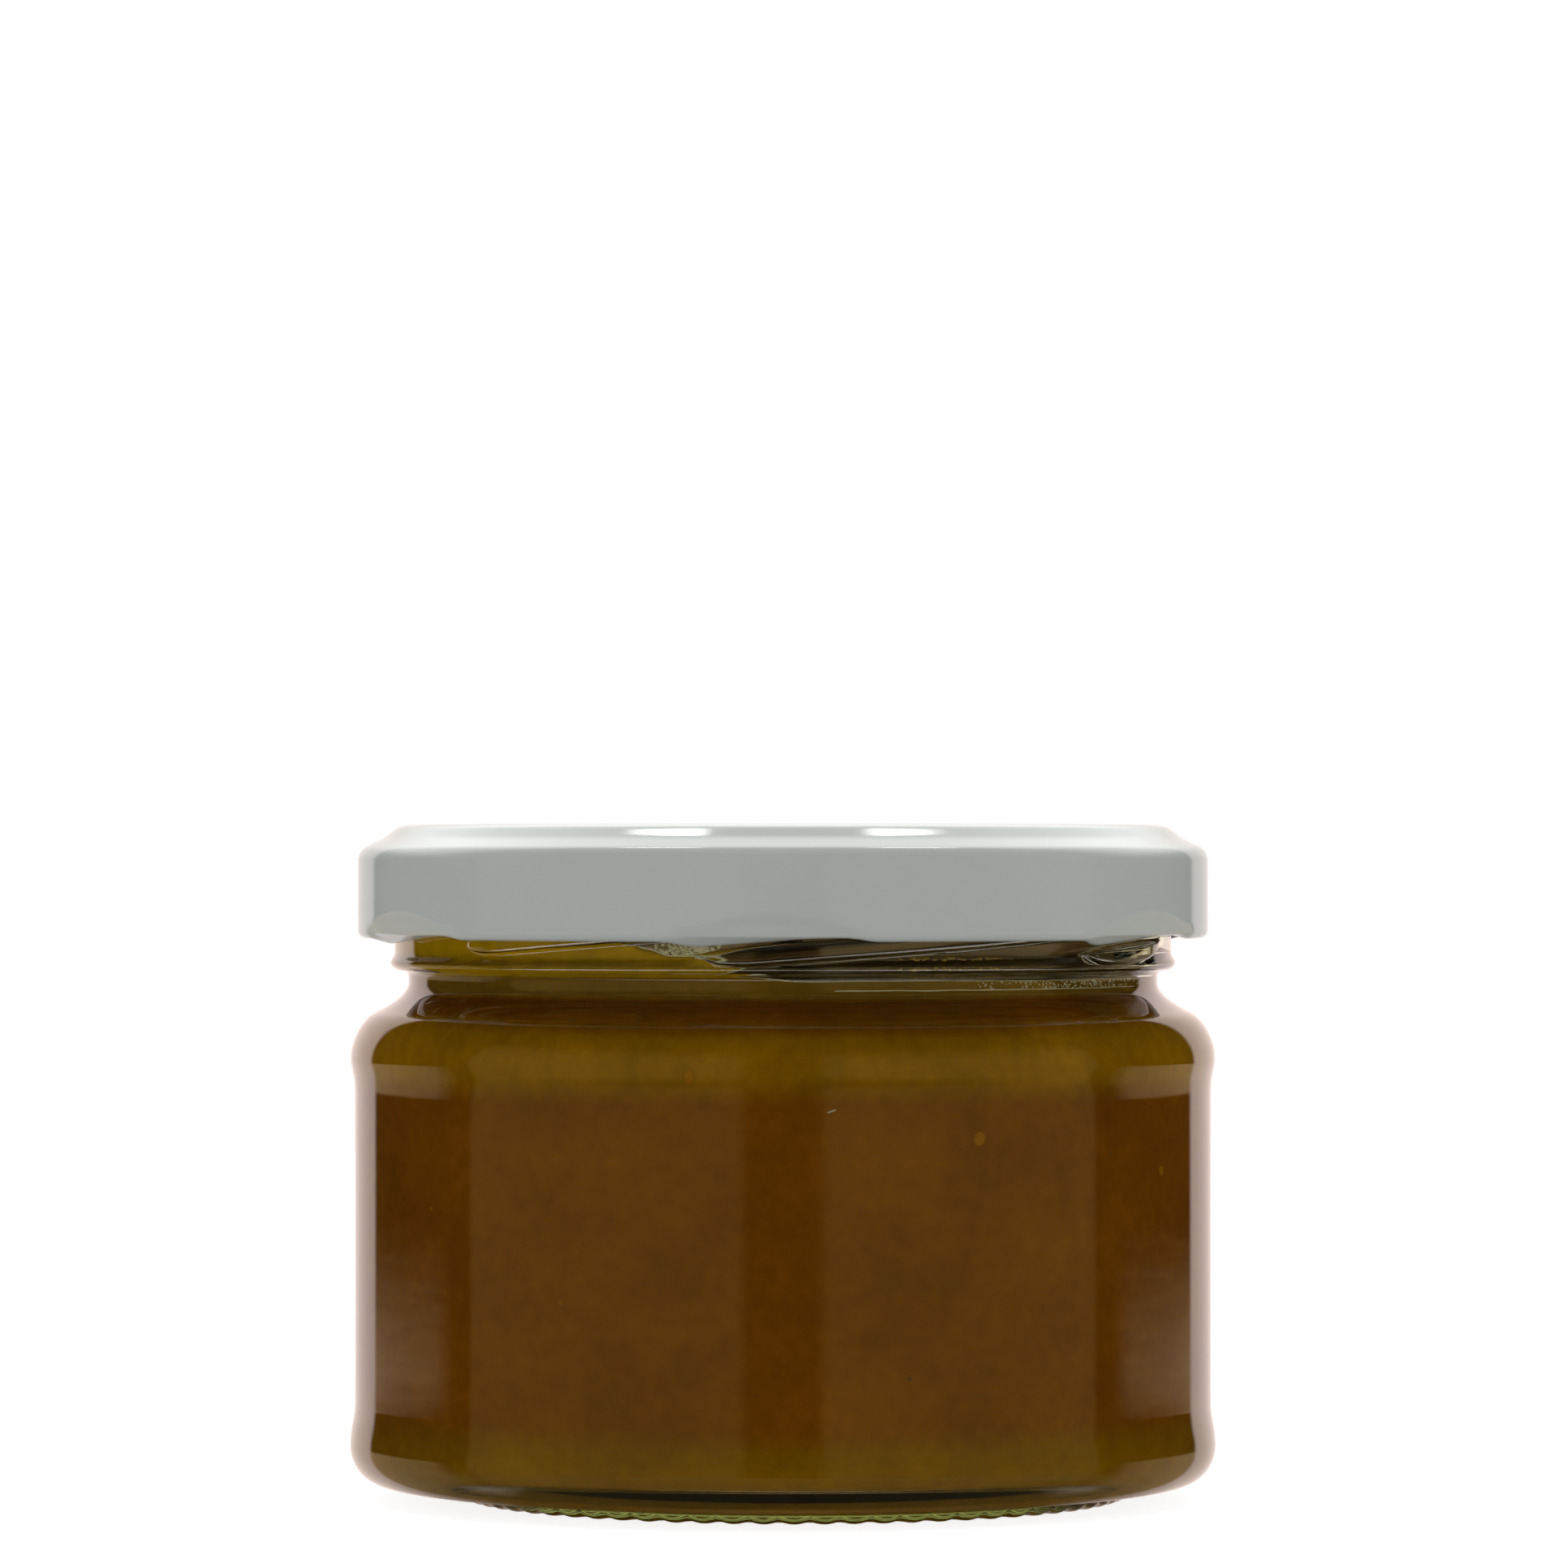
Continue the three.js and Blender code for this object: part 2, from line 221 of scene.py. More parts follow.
# Cooked fruit chutney: a thick brown paste, clouded with pulp, in bands of colour by height: olive near the
# base, under the shoulder and where it is smeared on the neck, with painted shade and painted light among
# them.
# Behind glass it has no gloss of its own.
def chutney(name, roughness, gloss):
    # bands by height: painted shade in the darker band under the shoulder's crease (47 to 49.5 mm), and
    # painted light on the neck, which grows lighter towards the lid to make up for the lid's shade
    look = {"cloud": 11.0, "pulp": 1.6, "lump": 0.25, "bandsAndPaintedLight": (
        (3.0, "#6a4702"), (7.0, "#6a4702"), (9.5, "#6d3d02"), (40.5, "#6d3d02"), (43.2, "#7b5302"),
        (46.2, "#7b5302"), (47.0, "#6a3c01"), (48.3, "#5c3101"), (49.5, "#5c3101"), (50.4, "#745313"),
        (53.0, "#745313"), (54.0, "#9c7602"), (55.5, "#c09002"))}
    material, tree, shader, spot = startMaterial(name)
    cloud = addNode(tree, "ShaderNodeTexNoise", {"Scale": perMetre(look["cloud"]), "Detail": 3.0,
                                                 "Roughness": 0.6}, {"Vector": spot})
    pulp = addNode(tree, "ShaderNodeTexNoise", {"Scale": perMetre(look["pulp"]), "Detail": 4.0,
                                                "Roughness": 0.65}, {"Vector": spot})
    height = addNode(tree, "ShaderNodeSeparateXYZ", {}, {"Vector": spot}).outputs["Z"]
    top = look["bandsAndPaintedLight"][-1][0]
    share = addNode(tree, "ShaderNodeMapRange", {"From Min": 0.0, "From Max": top * metre},
                    {"Value": height})
    bandsAndPaintedLight = addNode(tree, "ShaderNodeValToRGB", {}, {"Fac": share.outputs["Result"]})
    stops = bandsAndPaintedLight.color_ramp.elements
    for i, (level, hexColour) in enumerate(look["bandsAndPaintedLight"]):
        stop = stops[i] if i < 2 else stops.new(1.0)
        stop.position = level / top
        stop.color = linear(hexColour)
    colour = bandsAndPaintedLight.outputs["Color"]
    for source, low, high in ((cloud, 0.84, 1.16), (pulp, 0.88, 1.12)):
        shade = addNode(tree, "ShaderNodeMapRange", {"From Min": 0.3, "From Max": 0.7, "To Min": low,
                                                     "To Max": high}, {"Value": source.outputs["Fac"]})
        colour = addNode(tree, "ShaderNodeMix", {"data_type": "RGBA", "blend_type": "MULTIPLY", 0: 1.0},
                         {6: colour, 7: shade.outputs["Result"]}).outputs[2]
    tree.links.new(colour, shader.inputs["Base Color"])
    lumps = addNode(tree, "ShaderNodeBump", {"Strength": 0.5, "Distance": look["lump"] * metre},
                    {"Height": pulp.outputs["Fac"]})
    tree.links.new(lumps.outputs["Normal"], shader.inputs["Normal"])
    shader.inputs["Roughness"].default_value = roughness
    shader.inputs["Specular IOR Level"].default_value = gloss
    return material


# The smear of chutney on the back of the neck, which grows thinner upwards and lets the light through
def chutneySmear():
    look = {"thick": 52.8, "thin": 55.0, "clear": 0.92}
    material = chutney("chutneySmear", 0.4, 0.3)
    tree = material.node_tree
    spot = tree.nodes["Texture Coordinate"].outputs["Object"]
    height = addNode(tree, "ShaderNodeSeparateXYZ", {}, {"Vector": spot}).outputs["Z"]
    share = addNode(tree, "ShaderNodeMapRange", {"From Min": look["thick"] * metre, "To Max": look["clear"],
                                                 "From Max": look["thin"] * metre}, {"Value": height})
    glow = addNode(tree, "ShaderNodeBsdfTranslucent", {"Color": linear("#cdb794")})
    mixed = addNode(tree, "ShaderNodeMixShader", {}, {0: share.outputs["Result"], 2: glow.outputs["BSDF"],
                                                      1: tree.nodes["Principled BSDF"].outputs["BSDF"]})
    tree.links.new(mixed.outputs["Shader"], tree.nodes["Material Output"].inputs["Surface"])
    return material


# Bits in the chutney: foam, soft peel, fibre, skin and pulp against the glass, finely mottled. Peel that
# is bedded in the paste has no gloss.
def pulpBit(name, hexColour, dark, gloss=0.5):
    material, tree, shader, spot = startMaterial(name)
    mottle = addNode(tree, "ShaderNodeTexNoise", {"Scale": perMetre(0.5), "Detail": 2.0},
                     {"Vector": spot})
    colour = addNode(tree, "ShaderNodeMix", {"data_type": "RGBA", 6: linear(dark), 7: linear(hexColour)},
                     {0: mottle.outputs["Fac"]})
    tree.links.new(colour.outputs[2], shader.inputs["Base Color"])
    shader.inputs["Roughness"].default_value = 0.35
    shader.inputs["Specular IOR Level"].default_value = gloss
    return material


# Enamel or lacquer baked on tinplate: glossy and faintly clouded, with the fine orange peel of a roller
# coat. It is a greyish white outside the lid and gold inside it.
def enamel(name, hexColour, shade, roughness, gloss):
    look = {"peel": 1.1, "peelDepth": 0.004, "cloud": 14.0}
    material, tree, shader, spot = startMaterial(name)
    cloud = addNode(tree, "ShaderNodeTexNoise", {"Scale": perMetre(look["cloud"]), "Detail": 3.0},
                    {"Vector": spot})
    colour = addNode(tree, "ShaderNodeMix", {"data_type": "RGBA", 6: linear(shade), 7: linear(hexColour)},
                     {0: cloud.outputs["Fac"]})
    tree.links.new(colour.outputs[2], shader.inputs["Base Color"])
    peel = addNode(tree, "ShaderNodeTexNoise", {"Scale": perMetre(look["peel"]), "Detail": 1.0},
                   {"Vector": spot})
    bump = addNode(tree, "ShaderNodeBump", {"Strength": 0.6, "Distance": look["peelDepth"] * metre},
                   {"Height": peel.outputs["Fac"]})
    tree.links.new(bump.outputs["Normal"], shader.inputs["Normal"])
    shader.inputs["Roughness"].default_value = roughness
    shader.inputs["Specular IOR Level"].default_value = gloss
    return material


# Cured sealing compound: a soft off-white plastisol with a satin, slightly pitted skin
def sealCompound():
    look = {"pit": 3.0, "pitDepth": 0.03, "dark": "#dcd8c8", "pale": "#ece9de"}
    material, tree, shader, spot = startMaterial("plastisolSeal")
    cloud = addNode(tree, "ShaderNodeTexNoise", {"Scale": perMetre(look["pit"]), "Detail": 4.0},
                    {"Vector": spot})
    colour = addNode(tree, "ShaderNodeMix", {"data_type": "RGBA", 6: linear(look["dark"]),
                                             7: linear(look["pale"])}, {0: cloud.outputs["Fac"]})
    tree.links.new(colour.outputs[2], shader.inputs["Base Color"])
    bump = addNode(tree, "ShaderNodeBump", {"Strength": 0.4, "Distance": look["pitDepth"] * metre},
                   {"Height": cloud.outputs["Fac"]})
    tree.links.new(bump.outputs["Normal"], shader.inputs["Normal"])
    shader.inputs["Roughness"].default_value = 0.5
    return material


# Glass jar

jar = {
    "segments": 384,
    "rim": nodeTop("glass_jar"),
    "panel": 42.98, "lowerBand": nodeRadius("glass_jar"), "upperBand": 43.4,
    "neck": 39.0, "groove": 37.6, "bead": 39.4, "bore": 35.6, "wall": 40.5,
    "beadTop": 53.7, "neckStart": 54.7, "threadTop": 60.4,
    "rimRound": 1.1, "floor": 4.2, "floorCorner": 2.0, "floorCrown": 4.8,
    "ringInner": 20.0, "ringOuter": 40.0, "ringTop": 1.7, "ringShift": 1.1,   # bearing ring, off the axis
    "lobes": 70, "lobeDepth": 0.27, "lobeSwell": 0.12, "lobeStart": 30.4, "lobeTop": 1.05,
}
thread = {
    "starts": 6, "lead": 19.0, "depth": 1.85, "height": 2.0, "span": 90.0, "tip": -11.3, "tipDrop": 11.2,
    "noseBelow": 8.5, "noseAbove": 9.0, "noseLift": 0.5, "tail": 12.0, "runOut": 8.0, "thin": 0.1,
    "seams": ((-75.0, 24.2), (91.0, 18.0)),   # ribs are left out this far each side of the mould's seams
    "flat": 0.35, "flank": 0.45,   # half of the crest that is flat, share of the depth that is rounded
    "rows": (0.2, 0.4, 0.55, 0.68, 0.79, 0.88, 0.95, 1.0, 1.06, 1.3),
}


def jarOutside():
    band, upper = jar["lowerBand"], jar["upperBand"]
    outline = [(0, 1.6)]
    bend(outline, (20.5, 1.6), (29.2, 0.5), 10)
    bend(outline, (29.6, 0), (30.4, 0), 4)
    line(outline, (32.4, 0), 3)
    bend(outline, (33.4, 0), (33.55, 0.5), 5)
    line(outline, (33.6, 0.9), 2)
    bend(outline, (33.65, 1.02), (33.9, 1.06), 3)
    line(outline, (40.2, 1.65), 5)
    bend(outline, (band, 1.65), (band, 5.4), 12)                       # heel
    bend(outline, (band, 6.5), (43.26, 7.4), 5)                        # lower band
    bend(outline, (jar["panel"], 8.65), (jar["panel"], 9.6), 6)
    line(outline, (jar["panel"], 40.6), 8)                             # straight panel
    bend(outline, (jar["panel"], 41.75), (43.15, 42.5), 6)             # upper band
    bend(outline, (upper, 43.6), (upper, 44.0), 6)
    bend(outline, (upper, 47.5), (40.9, 48.7), 16)                     # shoulder
    bend(outline, (jar["groove"], 50.3), (jar["groove"], 51.7), 14, pull=0.65)
    line(outline, (jar["groove"], 52.3), 2)
    bend(outline, (jar["groove"], 52.92), (38.3, 52.95), 4)            # bead
    bend(outline, (jar["bead"], 52.95), (jar["bead"], jar["beadTop"]), 9)
    return outline


def cavity(outline, gap):          # from the mouth down to the middle of the floor
    bore, wall, floor = jar["bore"] - gap, jar["wall"] - gap, jar["floor"] + gap
    line(outline, (bore, fill["neckLow"] - gap), 8)
    bend(outline, (bore, 48.0 - gap), ((bore + wall) / 2, 46.9 - gap), 8)
    bend(outline, (wall, 45.8 - gap), (wall, 42.95 - gap), 8)
    line(outline, (wall, 10.2 + gap), 6)
    line(outline, (wall, floor + jar["floorCorner"]), 2)
    bend(outline, (wall, floor), (wall - jar["floorCorner"], floor), 8)
    line(outline, (0, jar["floorCrown"] + gap), 6)


def jarInside():
    rim, neck, bore, rounding = jar["rim"], jar["neck"], jar["bore"], jar["rimRound"]
    outline = [(neck, jar["threadTop"])]
    line(outline, (neck, rim - rounding), 3)
    bend(outline, (neck, rim), (neck - rounding, rim), 6)
    line(outline, (bore + rounding, rim))
    bend(outline, (bore, rim), (bore, rim - rounding), 6)
    line(outline, (bore, fill["cadLevel"]), 5)
    cavity(outline, 0)
    return outline


def onHelix(degrees, height):      # degrees from the nearest rib's two ends, and height off its middle
    pitch = thread["lead"] / thread["starts"]
    tipZ = jar["rim"] - thread["tipDrop"]
    middle = tipZ + thread["lead"] * (degrees - thread["tip"]) / 360
    rib = round((height - middle) / pitch)
    along = degrees - thread["tip"] + rib * 360 / thread["starts"]
    left = thread["span"] - along
    for seam, half in thread["seams"]:
        past = nearest(degrees, seam, 1)
        if past > 0:
            along = min(along, past - half)
        else:
            left = min(left, -past - half)
    return along, left, height - middle - rib * pitch


def ribEdges(along, left):         # lower and upper edge of a rib, as shares of half its height
    lift, thin = thread["noseLift"], thread["thin"]
    if along < 0 or left < 0:
        spread = smooth(max(-along, -left) / thread["runOut"])
        return between(lift - thin, -1, spread), between(lift + thin, 1, spread)
    low = min(1, along / thread["noseBelow"])
    high = min(1, along / thread["noseAbove"])
    lower = between(lift - thin, -1, math.sqrt(1 - (1 - low) ** 2))
    upper = between(lift + thin, 1, math.sqrt(1 - (1 - high) ** 2))
    fade = smooth(left / thread["tail"])
    return between(lift - thin, lower, fade), between(lift + thin, upper, fade)


def screwStrip():                  # neck wall with its ribs, on rows that climb with the thread
    half = thread["height"] / 2
    pitch = thread["lead"] / thread["starts"]
    tipZ = jar["rim"] - thread["tipDrop"]
    low, high = jar["beadTop"], jar["threadTop"]
    offsets = [-s for s in reversed(thread["rows"])] + list(thread["rows"]) + [pitch / 2 / half]
    start = tipZ + thread["lead"] * (180 - thread["tip"]) / 360
    first = math.floor((low - thread["lead"] - start) / pitch) - 1
    last = math.ceil((high - start) / pitch) + 1
    heights = [start + rib * pitch + s * half for rib in range(first, last + 1) for s in offsets]
    bm = turn([(jar["neck"], z) for z in heights], jar["segments"], thread["lead"])
    for vert in bm.verts:
        degrees = degreesOf(vert)
        along, left, offset = onHelix(degrees, vert.co.z)
        share, limit = offset / half, pitch / 2 / half
        lower, upper = ribEdges(along, left)
        if share < -1:
            moved = between(-limit, lower, (share + limit) / (limit - 1))
        elif share > 1:
            moved = between(upper, limit, (share - 1) / (limit - 1))
        else:
            moved = between(lower, upper, (share + 1) / 2)
        height = vert.co.z + (moved - share) * half
        inside = low < height < high
        height = min(max(height, low), high)
        wall = jar["neck"] + (jar["bead"] - jar["neck"]) * smooth((jar["neckStart"] - height)
                                                                  / (jar["neckStart"] - low))
        if inside and along > 0 and left > 0 and abs(share) < 1:
            swell = max(0, (upper - lower) / 2 - thread["thin"]) / (1 - thread["thin"])
            bevel = max(0, abs(share) - thread["flat"]) / (1 - thread["flat"])
            dome = 1 - thread["flank"] * (1 - math.sqrt(1 - bevel ** 2))
            wall = max(wall, jar["neck"] + thread["depth"] * swell ** 0.6 * dome)
        place(vert, wall, degrees, height)
    return bm


def knurlRing(bm):                 # scalloped lobes under the bearing ring, which sits off the axis
    inner, outer = jar["ringInner"], jar["ringOuter"]
    for vert in bm.verts:
        radius, height = radiusOf(vert), vert.co.z
        if height > jar["ringTop"] or radius < inner or radius > outer:
            continue
        degrees = degreesOf(vert)
        offset = nearest(degrees, 0, jar["lobes"]) * jar["lobes"] / 180
        valley = 1 - math.cos(offset * math.pi / 2)
        reach = smooth((radius - jar["lobeStart"]) / 1.6) * smooth((jar["lobeTop"] - height) / 0.5)
        lifted = height + jar["lobeDepth"] * valley * reach
        place(vert, radius + jar["lobeSwell"] * (0.4 - valley) * reach, degrees, lifted)
        shift = smooth((radius - inner) / 9) * smooth((outer - radius) / 6)
        vert.co.x += jar["ringShift"] * shift


def makeJar():
    bm = turn(jarOutside(), jar["segments"])
    join(bm, screwStrip())
    inside = turn(jarInside(), jar["segments"])
    mouth = jar["rim"] - jar["rimRound"]
    for vert in inside.verts:
        if abs(radiusOf(vert) - jar["bore"]) < 0.001 and fill["neckLow"] < vert.co.z < mouth:
            followEdge(vert, fill["neckLow"], mouth)
    join(bm, inside)
    bmesh.ops.remove_doubles(bm, verts=bm.verts, dist=weld)
    bmesh.ops.recalc_face_normals(bm, faces=bm.faces)
    knurlRing(bm)
    cavityMiddle = Vector((0, 0, 30))    # the cavity's faces look towards it
    for face in bm.faces:
        middle = face.calc_center_median()
        inner = math.hypot(middle.x, middle.y) < jar["wall"] + 0.01 and middle.z > jar["floor"] - 0.1
        inner = inner and face.normal.dot(cavityMiddle - middle) > 0
        wet = middle.z < fillEdge(math.degrees(math.atan2(middle.x, -middle.y)))
        face.material_index = 1 if inner and wet else 0
    piece = makePiece(bm, "glassJar", [clearGlass(), wettedGlass()])
    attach(piece, "jar")
    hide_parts("glass_jar")


# Chutney

fill = {
    "segments": 384,
    "gap": 0.06,                   # a film of liquid between the glass and the paste
    "neckLow": 50.65,
    "cadLevel": nodeTop("contents"),
    "level": 52.3,                 # surface in the middle of the jar
    "rings": (4, 8, 12, 16, 20, 24, 27, 29.5, 31.5, 33, 34, 34.6, 35.0, 35.25, 35.42),
    "coat": 0.5, "smear": 53.0,    # thickness of the smear on the neck, and where it begins
    "lumps": 0.5, "wander": 0.18,  # height of the lumps in its surface, and of the waves in its edge
    # where its edge lies on the glass, round the jar
    "edge": ((-180, 58.2), (-100, 58.4), (-40, 58.2), (-27, 57.6), (-21, 55.6), (-17, 54.9), (-10, 54.8),
             (-4, 53.4), (2, 52.5), (78, 52.5), (86, 54.5), (96, 57.6), (110, 58.2), (180, 58.2)),
}


def alongEdge(degrees, points):
    for (a, low), (b, high) in zip(points, points[1:]):
        if a <= degrees <= b:
            return between(low, high, smooth((degrees - a) / (b - a)))
    return points[-1][1]


def fillEdge(degrees):
    angle = math.radians(degrees)
    wander = noise.noise((6 * math.sin(angle), 6 * math.cos(angle), 4.0))
    return alongEdge(degrees, fill["edge"]) + fill["wander"] * wander


def followEdge(vert, foot, top):   # moves the rows of the bore so that one of them is the fill's edge
    edge, level = fillEdge(degreesOf(vert)), fill["cadLevel"]
    if vert.co.z >= level:
        vert.co.z = between(edge, top, (vert.co.z - level) / (top - level))
    else:
        vert.co.z = between(foot, edge, (vert.co.z - foot) / (level - foot))


def makeChutney():
    bore = jar["bore"] - fill["gap"]
    level, foot = fill["cadLevel"], fill["neckLow"] - fill["gap"]
    outline = [(0, level)]
    for radius in fill["rings"]:
        line(outline, (radius, level))
    line(outline, (bore, level))
    cavity(outline, fill["gap"])
    bm = turn(outline, fill["segments"])
    for vert in bm.verts:
        radius, degrees = radiusOf(vert), degreesOf(vert)
        if abs(vert.co.z - level) < 1e-4:
            depth = bore - radius
            edge = fillEdge(degrees)
            lump = fill["lumps"] * noise.noise(Vector((vert.co.x, vert.co.y, 0)) * 0.14)
            lump += 0.3 * fill["lumps"] * noise.noise(Vector((vert.co.x, vert.co.y, 9)) * 0.5)
            surface = fill["level"] + lump * smooth(depth / 4)
            coat = fill["coat"] if edge > surface else 2.0
            vert.co.z = between(surface, edge, math.exp(-(depth / coat) ** 2))
        elif vert.co.z > foot:
            followEdge(vert, foot, level + 1)
    for face in bm.faces:
        centre = face.calc_center_median()
        inside = math.hypot(centre.x, centre.y) < bore - 0.02
        face.material_index = 1 if inside and centre.z > foot - 0.5 else 0
        if centre.y > 0 and centre.z > fill["smear"]:
            face.material_index = 2
    piece = makePiece(bm, "chutney", [chutney("chutneyAgainstGlass", 0.7, 0.0),
                                      chutney("chutneyWetTop", 0.28, 0.5), chutneySmear()])
    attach(piece, "jar")
    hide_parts("contents")


# Bits in the chutney: foam along its edge, bubbles, pulp and flakes of peel against the glass

bits = {
    "seed": 7, "segments": 768, "foamThickness": 0.14, "foamFade": 5.0,
    "foamLine": (-54.0, 76.0), "lowLine": (4.0, 74.0), "lowLineZ": 51.3,   # along the edge and below it
    # angle, height, width, height of the bit, turn, material
    "flakes": ((-12.5, 43.4, 1.0, 1.3, 0, 1), (27.1, 37.3, 1.3, 1.5, 20, 1), (62.0, 33.6, 1.0, 1.1, 0, 1),
               (6.5, 40.1, 1.1, 0.22, -20, 2), (49.6, 35.4, 0.3, 0.3, 0, 3), (-31.0, 21.5, 0.35, 0.5, 0, 1),
               (-55.0, 30.0, 0.4, 0.4, 0, 1), (17.0, 14.5, 0.35, 0.3, 0, 3),
               (-22.0, 46.2, 0.5, 0.25, 15, 1)),
    "flakeHalf": 0.08, "flakeSunk": 0.09,
    # count, first and last angle, lowest and highest place, smallest and largest radius
    "foamPatch": (260, -20.0, -8.5, 54.8, 57.2, 0.08, 0.30),
    "bubbles": (190, 30.0, 76.0, 51.4, 52.4, 0.06, 0.15),
    "pulp": (34, 17.0, 40.0, 53.75, 54.25, 0.15, 0.38),
}


def foamRing(height, first, last):
    thick, bore, fade = bits["foamThickness"], jar["bore"], bits["foamFade"]
    outline = [(bore - thick + thick * math.cos(i * math.pi / 5), thick * math.sin(i * math.pi / 5))
               for i in range(11)]
    bm = turn(outline, bits["segments"])
    for vert in bm.verts:
        degrees = degreesOf(vert)
        here = smooth((degrees - first) / fade) * smooth((last - degrees) / fade)
        swell = here * (0.8 + 0.6 * noise.noise(Vector((degrees * 0.35, height(0), 0))))
        radius = bore - 0.015 + (radiusOf(vert) - bore) * swell
        place(vert, radius - 0.3 * (1 - here), degrees, height(degrees) + vert.co.z * swell)
    return bm


def lowLine(degrees):
    return bits["lowLineZ"] + 0.1 * noise.noise((degrees * 0.2, 0, 3))


def scatter(bm, pick, spec, material, depth):
    count, first, last, low, high, small, large = spec
    for i in range(count):
        angle = math.radians(pick.triangular(first, last))
        size = pick.uniform(small, large)
        radius = jar["bore"] - size * 0.9 - pick.uniform(0.0, depth)
        spot = Vector((radius * math.sin(angle), -radius * math.cos(angle), pick.uniform(low, high)))
        addBall(bm, Matrix.Translation(spot) @ Matrix.Scale(size, 4), material)


def addBall(bm, matrix, material):
    made = bmesh.ops.create_icosphere(bm, subdivisions=2, radius=1.0, matrix=matrix)
    for face in {f for vert in made["verts"] for f in vert.link_faces}:
        face.material_index = material


def makeBits():
    pick = random.Random(bits["seed"])
    bm = foamRing(fillEdge, *bits["foamLine"])
    join(bm, foamRing(lowLine, *bits["lowLine"]))
    scatter(bm, pick, bits["foamPatch"], 0, 0.25)
    scatter(bm, pick, bits["bubbles"], 0, 0.0)
    scatter(bm, pick, bits["pulp"], 4, 0.5)
    for degrees, height, width, tall, tilt, material in bits["flakes"]:
        facing = Matrix.Rotation(math.radians(degrees), 4, "Z")
        push = Matrix.Translation((0, -jar["wall"] + bits["flakeSunk"], height))
        size = Matrix.Diagonal((width / 2, bits["flakeHalf"], tall / 2, 1))
        shape = Matrix.Rotation(math.radians(tilt), 4, "Y") @ size
        addBall(bm, facing @ push @ shape, material)
    piece = makePiece(bm, "chutneyBits", [pulpBit("paleFoam", "#d8d0b4", "#b0a27a"),
                                          pulpBit("softPeel", "#8c5804", "#7c4c03", 0.0),
                                          pulpBit("paleFibre", "#b0a080", "#94835c"),
                                          pulpBit("darkSkin", "#241402", "#180c01"),
                                          pulpBit("yellowPulp", "#8f6f08", "#7f5f04")])
    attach(piece, "jar")
    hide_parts("contents")


# Lid

lid = {
    "segments": 432,
    "top": nodeTop("lid_shell"), "radius": nodeRadius("lid_shell"), "sheet": 0.25,
    "panelDrop": 0.8, "buttonDrop": 0.45, "button": 14.0,
    "curl": 0.72, "curlZ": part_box("lid_shell")[0].z / metre + 0.87,
    "lugs": 6, "lugAngle": -2.0, "lugHalf": 9.0, "lugRamp": 5.5, "lugRadius": 39.65, "lugThickness": 0.7,
    "lugRaise": 0.25, "dent": 0.38, "dentHeight": 1.7, "dentHalf": 12.5,
    "pressFrom": 40.5, "pressHeight": 4.0,   # the part of the skirt that the lugs' tool reaches
}


def lidTopFace():
    top, radius = lid["top"], lid["radius"]
    panel = top - lid["panelDrop"]
    button = panel - lid["buttonDrop"]
    outline = [(0, button)]
    line(outline, (lid["button"] - 0.9, button), 5)
    bend(outline, (lid["button"], button), (lid["button"] + 0.6, (panel + button) / 2), 4)
    bend(outline, (lid["button"] + 1.2, panel), (lid["button"] + 2.1, panel), 4)
    line(outline, (32.6, panel), 5)
    bend(outline, (33.7, panel), (34.35, (panel + top) / 2), 4)
    bend(outline, (35.0, top), (36.0, top), 4)
    line(outline, (37.3, top), 2)
    bend(outline, (38.35, top), (38.85, top - 0.38), 6)                # edge of the top ring
    line(outline, (39.85, top - 1.14), 5)
    bend(outline, (40.1, top - 1.33), (40.45, top - 1.5), 4)           # flatter below the edge
    line(outline, (41.9, top - 2.19), 5)
    bend(outline, (radius, top - 2.58), (radius, top - 3.6), 10)       # over into the skirt
    line(outline, (radius, lid["curlZ"] + lid["dentHeight"] + 0.9), 4)
    line(outline, (radius, lid["curlZ"] + lid["curl"]), 10)
    return outline


def undersideOf(outline):
    under = []
    for i, point in enumerate(outline):
        before = outline[max(i - 1, 0)]
        after = outline[min(i + 1, len(outline) - 1)]
        along = Vector((after[0] - before[0], after[1] - before[1])).normalized()
        under.append((max(point[0] + along.y * lid["sheet"], 0), point[1] - along.x * lid["sheet"]))
    under[0] = (0, under[0][1])
    return under


def curlOutline():                 # round the rolled edge, from the outside of the skirt to its inside
    middle = lid["radius"] - lid["curl"]
    end = 2 * math.pi - math.acos((lid["curl"] - lid["sheet"]) / lid["curl"])
    steps = 22
    return [(middle + lid["curl"] * math.cos(end * i / steps),
             lid["curlZ"] - lid["curl"] * math.sin(end * i / steps)) for i in range(steps + 1)]


